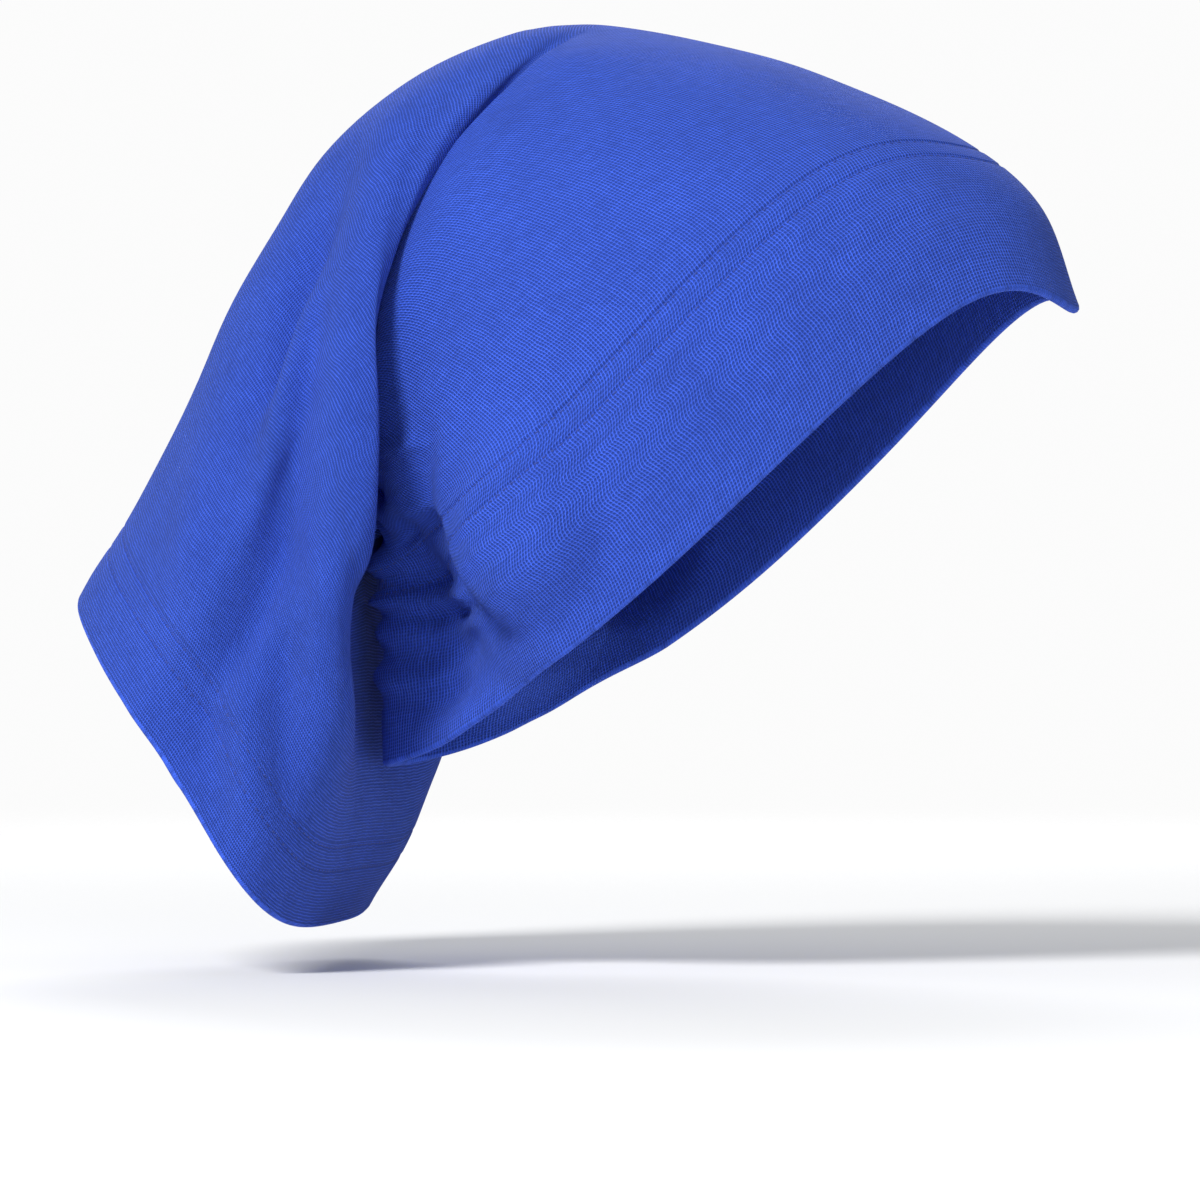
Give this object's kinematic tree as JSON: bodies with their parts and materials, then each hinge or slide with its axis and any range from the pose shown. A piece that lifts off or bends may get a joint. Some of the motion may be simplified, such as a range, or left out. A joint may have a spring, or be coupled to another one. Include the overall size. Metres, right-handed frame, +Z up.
{
  "type": "hijab underscarf cap",
  "caption": "Tube underscarf cap of stretch jersey: deep doubled face band, elastic gather at the nape, open back fall with a narrow hem, held in its worn form.",
  "frame": {"origin": "inside of the crown on the middle plane, where the top of the head carries the cap", "axes": "+Z up, -Y the way the wearer looks, +X to the wearer's left"},
  "size_m": [0.1558, 0.2611, 0.2332],
  "materials": {
    "jersey": "matte cotton jersey, royal blue",
    "elastic": "matte woven elastic, dyed to match"
  },
  "bodies": {
    "root": {"face_band": "jersey", "tube_body": "jersey", "back_hem": "jersey", "nape_elastic": "elastic"}
  },
  "joints": []
}
